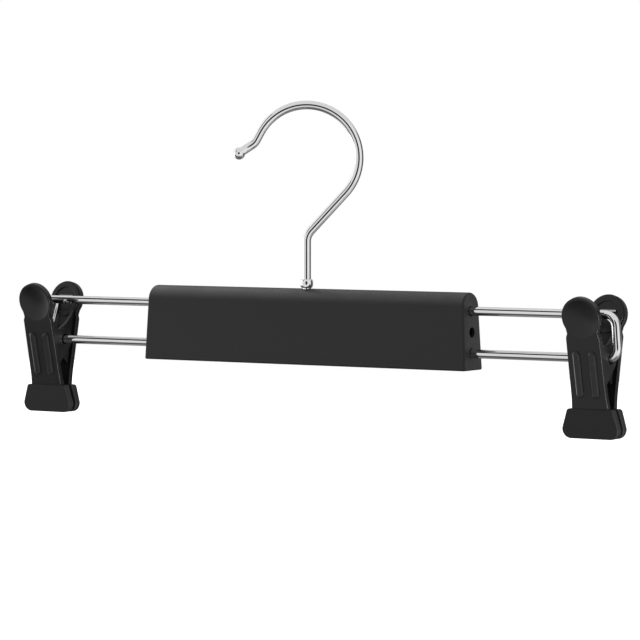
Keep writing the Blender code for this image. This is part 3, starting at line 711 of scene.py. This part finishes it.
def leverPlate():  # pad and blade, rounded all round, with the tongue that the shoe takes
    size = leverSizes
    inner = size["faceOffset"] - size["thick"]
    top = size["padRise"] + 2 * size["padRadius"]
    foot = -size["drop"] - size["heelSink"]  # the heel runs down into the shoe, so that no gap shows
    side = [(leverFace(size["faceOffset"], top), top), (leverFace(size["faceOffset"], foot), foot),
            (leverFace(inner, foot), foot), (leverFace(inner, top), top)]
    plate = combined(prism(side, wideEnough, alongX),
                     ("INTERSECT", prism(leverFront(), wideEnough, leverTilt @ alongY)))
    rise = size["tongueLength"] + size["drop"] + foot + size["tongueThick"]
    tongue = block((2 * size["heelHalf"] - fitGap, size["tongueThick"], rise),
                   (0, tongueDepth, rise / 2 - size["drop"] - size["tongueLength"]))
    relief = block((wideEnough, 2 * size["thick"], wideEnough),
                   (0, size["thick"] - size["tongueOffset"], foot + size["thick"] - wideEnough / 2))
    plate = softened(plate, size["edgeRadius"], segments=4)
    return combined(plate, ("DIFFERENCE", relief), ("UNION", tongue))


def earSide(reach, rise, sweepRadius):  # a disc round the pivot, swept up to the blade at the rise
    root = -(reach + leverSizes["thick"] / 2)
    top = Vector((-reach, rise))
    away = earSizes["radius"] + sweepRadius
    along = (away ** 2 - sweepRadius ** 2 + top.length_squared) / (2 * top.length)
    aside = (away ** 2 - along ** 2) ** 0.5
    upwards = top.normalized()
    middle = upwards * along + Vector((upwards.y, -upwards.x)) * aside
    meet = degrees(atan2(middle.y, middle.x))
    end = degrees(atan2(top.y - middle.y, top.x - middle.x)) % 360 - 360
    sweep = arcPoints(middle, sweepRadius, meet - 180, end)
    foot = Vector((-reach, -earSizes["footDrop"]))
    toFoot = degrees(atan2(foot.y, foot.x)) + degrees(acos(earSizes["radius"] / foot.length))
    disc = arcPoints((0, 0), earSizes["radius"], toFoot, meet, step=5)
    return [(root, rise), (root, foot.y), tuple(foot)] + disc + sweep[1:]


def leverBars():  # low bars with upright sides and a wide slope round the top
    size = barSizes
    half = size["width"] / 2
    low, high = size["top"] - size["length"] + half, size["top"] - half
    levels = ((half, size["root"]), (half, -size["upright"]), (half - size["slope"], -size["height"]))
    rings = []
    for reach, depth in levels:
        outline = arcPoints((0, high), reach, 180, 0, step=10) + arcPoints((0, low), reach, 0, -180, step=10)
        rings.append([(x, depth - leverSizes["faceOffset"], z) for x, z in outline])
    bars = rowMesh(loft(rings), size["count"], (-size["spacing"] / 2, 0, 0), (size["spacing"], 0, 0))
    bars.transform(leverTilt)
    return bars


def padRim(inner):  # raised rim on the inner side of the pad
    out = leverSizes["padRadius"] - leverSizes["edgeRadius"] - fitGap / 2
    inside, top, edge = out - rimSizes["width"], rimSizes["height"], rimSizes["edgeRadius"]
    sunk = -leverSizes["thick"] / 4
    profile = [(inside, sunk)] + arcPoints((inside + edge, top - edge), edge, 180, 90, step=15)
    profile += arcPoints((out - edge, top - edge), edge, 90, 0, step=15) + [(out, sunk), (inside, sunk)]
    place = Matrix.Translation((0, -inner, leverSizes["padRise"])) @ Matrix.Rotation(radians(-90), 4, "X")
    return lathe(profile, leverTilt @ place, steps=96)


def padDish():  # cutter for the thumb dish: a shallow cap of a ball whose lip is eased into the face
    radius, depth, lip = dishSizes["radius"], dishSizes["depth"], dishSizes["lip"]
    ball = (radius ** 2 + depth ** 2) / (2 * depth)
    reach = degrees(asin((radius - lip) / ball))
    cap = [(x, y + ball - depth) for x, y in arcPoints((0, 0), ball, -90, reach - 90, step=1.2)]
    cap[0] = (0, -depth)
    slope = tan(radians(reach))
    easeRise, steps = dishSizes["easeRise"], dishSizes["easeSteps"]
    easeStart, easeEnd = Vector(cap[-1]), Vector((radius + lip * dishSizes["easeShare"], easeRise))
    corner = Vector((easeStart.x - easeStart.y / slope, easeRise / 2))
    shares = [i / steps for i in range(1, steps + 1)]
    ease = [easeStart.lerp(corner, t).lerp(corner.lerp(easeEnd, t), t) for t in shares]
    top = leverSizes["thick"]
    profile = cap + [tuple(point) for point in ease] + [(radius + lip, top), (0, top)]
    place = Matrix.Translation((0, -leverSizes["faceOffset"], leverSizes["padRise"] - dishSizes["drop"]))
    return lathe(profile, leverTilt @ place @ alongY, steps=96)


def leverMesh():
    inner = leverSizes["faceOffset"] - leverSizes["thick"]
    outerPlace = earSizes["outerFace"] - earSizes["thick"] / 2
    innerPlace = earSizes["thick"] + fitGap - outerPlace  # lies beside the other lever's outer ear
    outerEar = earSide(inner, earSizes["outerRise"], earSizes["outerSweep"])
    innerEar = earSide(inner, earSizes["innerRise"], earSizes["innerSweep"])
    steps = []
    for outline, place in ((outerEar, outerPlace), (innerEar, innerPlace)):
        ear = prism(outline, earSizes["thick"], leverTilt @ Matrix.Translation((place, 0, 0)) @ alongX)
        steps.append(("UNION", softened(ear, earSizes["edgeRadius"])))
    pivotRadius = rodSizes["dia"] / 2 + leverSizes["shaftGap"]
    pivot = prism(arcPoints((0, 0), pivotRadius, 0, 360, step=6)[:-1], wideEnough, alongX)
    steps += [("UNION", leverBars()), ("UNION", padRim(inner)),
              ("DIFFERENCE", padDish()), ("DIFFERENCE", pivot)]
    lever = combined(leverPlate(), *steps)
    markEdges(lever)
    return evenShading(lever)


# Jaws

jawSizes = {"height": 13.2, "topHalf": 11.2, "half": 13.8, "widestRise": 4.6, "topThick": 4.7,
            "footThick": 4.0, "cornerRadius": 4.2, "topCornerRadius": 1.4, "edgeRadius": 0.5, "gap": 0.6,
            "sideRadius": 2.5, "gripStep": 0.65, "gripInset": 1.5, "gripEdge": 0.3}
gripSizes = {"count": 5, "pitch": 1.9, "drop": 2.6, "half": 8.5, "radius": 0.45, "stand": 0.16}
jawTop = -leverSizes["drop"] - fitGap


def gripRidges():  # low ridges across the gripping face
    size, radius = gripSizes, gripSizes["radius"]
    end = size["half"] - radius
    profile = arcPoints((0, end), radius, 90, 0, step=15) + arcPoints((0, -end), radius, 0, -90, step=15)
    ridge = lathe(profile, Matrix.Rotation(radians(90), 4, "Y"), steps=24)
    first = (0, size["stand"] - radius - jawSizes["gap"] / 2, jawTop - size["drop"])
    return rowMesh(ridge, size["count"], first, (0, 0, -size["pitch"]))


def jawFront(inset):  # the shoe widens downwards to rounded corners
    size = jawSizes
    top, foot = jawTop - inset, jawTop - size["height"] + inset
    widest = foot + size["widestRise"] - inset
    shoulder, half = size["topHalf"] - inset, size["half"] - inset
    ease, corner, bow = size["topCornerRadius"], size["cornerRadius"] - inset, size["sideRadius"] - inset
    return roundedOutline([(shoulder, top, ease), (-shoulder, top, ease), (-half, widest, bow),
                           (-half, foot, corner), (half, foot, corner), (half, widest, bow)])


def jawMesh():
    size = jawSizes
    foot = jawTop - size["height"]
    grip = -size["gap"] / 2
    rim = grip - size["gripStep"]
    side = [(rim, jawTop), (rim, foot), (grip - size["footThick"], foot), (grip - size["topThick"], jawTop)]
    shoe = combined(prism(side, wideEnough, alongX), ("INTERSECT", prism(jawFront(0), wideEnough, alongY)))
    facing = Matrix.Translation((0, rim, 0)) @ alongY
    raised = softened(prism(jawFront(size["gripInset"]), 2 * size["gripStep"], facing), size["gripEdge"])
    pocketFoot = -leverSizes["drop"] - leverSizes["tongueLength"] - fitGap
    pocketSize = (2 * (leverSizes["heelHalf"] + fitGap), leverSizes["tongueThick"] + 2 * fitGap,
                  2 * (jawTop - pocketFoot))
    pocket = block(pocketSize, (0, tongueDepth, jawTop))
    jaw = combined(softened(shoe, size["edgeRadius"], segments=4), ("UNION", raised), ("DIFFERENCE", pocket),
                   ("UNION", gripRidges()))
    markEdges(jaw)
    return evenShading(jaw)


# Springs

springSizes = {"dia": 1.4, "sides": 20, "coilRadius": 3.2, "coilLength": 7.4, "wholeTurns": 3,
               "pointsPerTurn": 40, "legRise": 20.3, "endLength": 8.4, "bendRadius": 1.3, "bendSteps": 12,
               "fixedLength": 1.0, "seat": 0.3}


# The rear half of the coil, from the middle to its end, and the rear leg; the front is a half turn on.
# A leg is seated a little way into its lever, so that it clears the rod when the clip is squeezed.
def springLines():
    size, radius, bendRadius = springSizes, springSizes["coilRadius"], springSizes["bendRadius"]
    rest = leverSizes["faceOffset"] - leverSizes["thick"] + size["seat"] - size["dia"] / 2
    legTop = Vector((-leverFace(rest, size["legRise"]), size["legRise"]))
    lean = atan2(legTop.x, legTop.y) - asin(radius / legTop.length)  # the leg is a tangent of the coil
    total = 2 * pi * size["wholeTurns"] + pi - 2 * lean
    count = round(total / (2 * pi) * size["pointsPerTurn"] / 2) * 2
    coil = []
    for i in range(count // 2 + 1):
        angle = lean + total * i / count
        along = size["coilLength"] * (i / count - 0.5)
        coil.append(Vector((along, radius * cos(angle), -radius * sin(angle))))
    top = Vector((coil[0].x, legTop.x, legTop.y))
    up = (top - coil[0]).normalized()
    across = Vector((1, 0, 0))
    bendCentre = top + (across - up) * bendRadius
    turns = [radians(90 * i / size["bendSteps"]) for i in range(size["bendSteps"] + 1)]
    bend = [bendCentre - across * bendRadius * cos(a) + up * bendRadius * sin(a) for a in turns]
    return coil[::-1], [coil[0]] + bend + [top + across * size["endLength"]]


def clipPieces():
    lever, jaw = leverMesh(), jawMesh()
    print("lever and jaw shaped")
    coilLine, legLine = springLines()
    coil = wireMesh(coilLine, springSizes["dia"], springSizes["sides"], springFinish)
    leg = wireMesh(legLine, springSizes["dia"], springSizes["sides"], springFinish)
    for side in ("left", "right"):
        pivot = Matrix.Translation(jointPlace(side + "_front_pivot"))
        spring = [side + "_spring"]
        for which, turn in (("front", 0), ("rear", 180)):
            name = side + "_" + which
            place = pivot @ Matrix.Rotation(radians(turn), 4, "Z")
            settle(name + "_lever_moulding", lever, place, clipFinish,
                   [name + "_lever"], name)
            settle(name + "_jaw_shoe", jaw, place, jawFinish, [name + "_jaw"], name)
            place = pivot @ Matrix.Rotation(radians(turn + 180), 4, "Z")  # springs are drawn for the rear
            settle(name + "_spring_leg", leg, place, springFinish, spring, name)
            half = settle(name + "_spring_coil", coil, place, springFinish, spring, None)
            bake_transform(half)


clipPieces()
print("clips made")


# Floor, light and camera

floorLook = {"height": -0.80, "half": 9.0, "colour": (0.92, 0.92, 0.92, 1), "roughness": 0.9, "glow": 0.8}
studioLook = {"front": 0.76, "left": 1.10, "right": 0.85, "back": 0.24, "backRight": 0.03, "top": 0.74,
              "leftTop": 1.05, "low": 0.08, "under": 0.17, "dark": 0.03}  # how bright each way is
studioWays = {"leftX": (-0.95, -0.62), "rightX": (0.30, 0.90), "backX": (0.40, 0.62),
              "roofX": (-0.80, -0.60), "aheadY": (-0.35, -0.10), "behindY": (0.1, 0.7),
              "aboveZ": (0.30, 0.60), "underZ": (-0.95, -0.50), "lowTilt": (0.9, 0.0, 1.0),
              "lowAlong": (-1.04, -0.80), "lowZ": (-0.36, -0.22), "blobWay": (0.466, -0.876, 0.122),
              "blobTurn": (23.0, 18.0), "gapX": -0.535, "gapZ": 0.61,
              "gapOffX": (0.08, 0.14), "gapOffZ": (0.15, 0.20)}  # where one brightness turns into another
keyLook = {"place": (-1.7, 0.05, -0.28), "size": (0.9, 0.9), "power": 5.0}
topLook = {"place": (-0.98, -0.12, 0.86), "size": (2.0, 0.9), "power": 9.4}  # crown of the body
endLook = {"place": (0.95, 1.35, -0.20), "size": (0.9, 0.9), "power": 2.7}  # end face of the body
rimLook = {"place": (1.60, -0.10, -0.52), "size": (0.5, 0.6), "power": 25.0}  # right-hand edges of the clips
fillLook = {"place": (-0.63, -0.76, -0.62), "size": (0.7, 0.6), "power": 0.28}  # face of the right-hand clip
cameraLook = {"place": (0.8254, -1.2873, -0.02325), "aim": (0.0073, 0.0, -0.09725), "focalPixels": 3303.0,
              "framePixels": 640.0, "sensor": 36.0, "farEnd": 100.0}


def makeFloor():
    half, level = floorLook["half"], floorLook["height"]
    corners = [(-half, -half, level), (half, -half, level), (half, half, level), (-half, half, level)]
    sheet = bpy.data.meshes.new("floor")
    sheet.from_pydata(corners, [], [(0, 1, 2, 3)])
    floor = newObject("floor", sheet)
    finish, tree, shader = newFinish("pale_floor")
    under = tree.nodes.new("ShaderNodeNewGeometry").outputs["Backfacing"]  # clear when looked at from below
    clear = tree.nodes.new("ShaderNodeBsdfTransparent").outputs[0]
    mixShaders(tree, under, shader.outputs[0], clear, tree.nodes["Material Output"].inputs["Surface"])
    shader.inputs["Base Color"].default_value = floorLook["colour"]
    shader.inputs["Roughness"].default_value = floorLook["roughness"]
    shader.inputs["Emission Color"].default_value = (1, 1, 1, 1)
    shader.inputs["Emission Strength"].default_value = floorLook["glow"]
    floor.data.materials.append(finish)
    floor.visible_glossy = False
    floor.visible_diffuse = False


# A white studio: a bright box at the left, light above, the camera's shadow and a gap between panels
def makeWorld():
    world = bpy.data.worlds.new("studio")
    bpy.context.scene.world = world
    world.use_nodes = True
    tree = world.node_tree
    look, ways = studioLook, studioWays
    way = tree.nodes.new("ShaderNodeTexCoord").outputs["Generated"]
    part = addNode(tree, "ShaderNodeSeparateXYZ", Vector=way).outputs

    def along(direction):  # how far a ray points along a direction
        node = tree.nodes.new("ShaderNodeVectorMath")
        node.operation = "DOT_PRODUCT"
        tree.links.new(way, node.inputs[0])
        node.inputs[1].default_value = direction
        return node.outputs["Value"]

    def rising(value, span):  # 0 before the span and 1 past it
        return spread(tree, value, *span, 0.0, 1.0)

    def falling(value, span):
        return spread(tree, value, *span, 1.0, 0.0)

    def between(share, first, second):  # the second level where the share is 1
        return spread(tree, share, 0.0, 1.0, first, second)

    def off(value, place):
        return sums(tree, "ABSOLUTE", sums(tree, "SUBTRACT", value, place))

    ahead = falling(part["Y"], ways["aheadY"])
    lowLeft = sums(tree, "MULTIPLY", falling(along(ways["lowTilt"]), ways["lowAlong"]),
                   falling(part["Z"], ways["lowZ"]))
    blob = rising(along(ways["blobWay"]), [cos(radians(turn)) for turn in ways["blobTurn"]])
    gap = sums(tree, "MULTIPLY", falling(off(part["Z"], ways["gapZ"]), ways["gapOffZ"]),
               falling(off(part["X"], ways["gapX"]), ways["gapOffX"]))
    back = spread(tree, part["X"], *ways["backX"], look["back"], look["backRight"])
    roof = spread(tree, part["X"], *ways["roofX"], look["leftTop"], look["top"])
    level = between(rising(part["X"], ways["rightX"]), look["front"], look["right"])
    level = between(rising(part["Y"], ways["behindY"]), level, back)
    level = between(falling(part["X"], ways["leftX"]), level, look["left"])
    level = between(rising(part["Z"], ways["aboveZ"]), level, roof)
    level = between(falling(part["Z"], ways["underZ"]), level, look["under"])
    level = between(sums(tree, "MULTIPLY", lowLeft, ahead), level, look["low"])
    shade = sums(tree, "MAXIMUM", blob, sums(tree, "MULTIPLY", gap, ahead))
    level = between(shade, level, look["dark"])
    studio = tree.nodes["Background"]
    tree.links.new(level, studio.inputs["Color"])
    white = addNode(tree, "ShaderNodeBackground", Color=(1, 1, 1, 1), Strength=1.0)
    seen = tree.nodes.new("ShaderNodeLightPath").outputs["Is Camera Ray"]
    mixShaders(tree, seen, studio.outputs[0], white.outputs[0], tree.nodes["World Output"].inputs["Surface"])


def aimed(name, data, place):  # a light or a camera, turned to the hanger
    made = newObject(name, data)
    made.location = place
    aim = Vector(cameraLook["aim"]) - made.location
    made.rotation_euler = aim.to_track_quat("-Z", "Y").to_euler()
    return made


def softBox(name, look):
    light = bpy.data.lights.new(name, "AREA")
    light.shape = "RECTANGLE"
    light.size, light.size_y = look["size"]
    light.energy = look["power"]
    box = aimed(name, light, look["place"])
    box.visible_camera = False
    return box


def makeLights():
    softBox("key", keyLook)
    # The other boxes light only the black pieces named here, and stay out of the chrome
    for name, look, ending in (("top", topLook, "body_moulding"), ("end", endLook, "body_moulding"),
                               ("rim", rimLook, "_lever_moulding"), ("shoe_rim", rimLook, "_jaw_shoe"),
                               ("fill", fillLook, "right_front_lever_moulding")):
        lit = bpy.data.collections.new("lit_by_" + name)
        for piece in bpy.data.objects:
            if piece.name.endswith(ending):
                lit.objects.link(piece)
        softBox(name, look).light_linking.receiver_collection = lit


def makeCamera():
    lens = bpy.data.cameras.new("camera")
    lens.sensor_width = cameraLook["sensor"]
    lens.lens = cameraLook["sensor"] * cameraLook["focalPixels"] / cameraLook["framePixels"]
    lens.clip_end = cameraLook["farEnd"]
    bpy.context.scene.camera = aimed("camera", lens, cameraLook["place"])


makeFloor()
makeWorld()
makeLights()
makeCamera()
bpy.context.scene.view_settings.view_transform = "Standard"
print("stage made")
